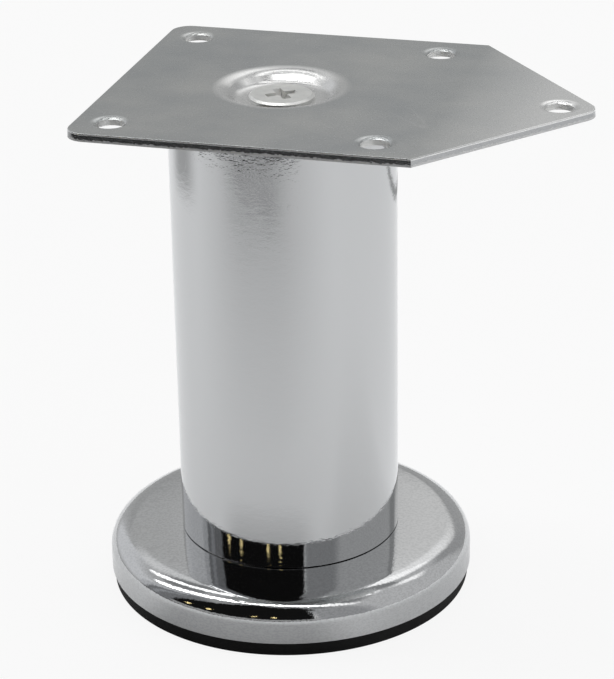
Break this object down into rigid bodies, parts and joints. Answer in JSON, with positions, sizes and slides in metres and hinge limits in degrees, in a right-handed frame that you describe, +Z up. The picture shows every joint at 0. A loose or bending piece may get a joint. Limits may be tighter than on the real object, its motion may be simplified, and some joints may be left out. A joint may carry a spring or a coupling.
{
  "type": "furniture leg",
  "caption": "Round chrome furniture leg: a steel tube on a broad levelling foot with a rubber pad, topped by a flat screw plate with a square end and a pointed tip.",
  "frame": {"origin": "on the tube's axis at the underside of the pad, where the leg stands on the floor", "axes": "+Z up along the tube, from the floor to the mounting face; +X towards the tip of the plate"},
  "size_m": [0.1122, 0.085, 0.12],
  "materials": {
    "zinc_plate": "satin zinc plating",
    "zinc_hardware": "bright zinc plating",
    "chrome": "mirror chrome",
    "nylon": "matt black moulding",
    "rubber": "matt black"
  },
  "bodies": {
    "leg": {"mount_plate": "zinc_plate", "centre_screw": "zinc_hardware", "tube": "chrome", "top_plug": "nylon", "top_nut": "zinc_hardware", "bottom_plug": "nylon", "bottom_nut": "zinc_hardware"},
    "foot": {"base_cover": "chrome", "foot_core": "nylon", "levelling_bolt": "zinc_hardware", "clamp_washer": "zinc_hardware", "clamp_nut": "zinc_hardware", "rubber_pad": "rubber"}
  },
  "joints": [
    {"name": "foot_height", "type": "slide", "parent": "foot", "child": "leg", "axis": [0, 0, 1], "range_m": [0, 0.015]}
  ]
}
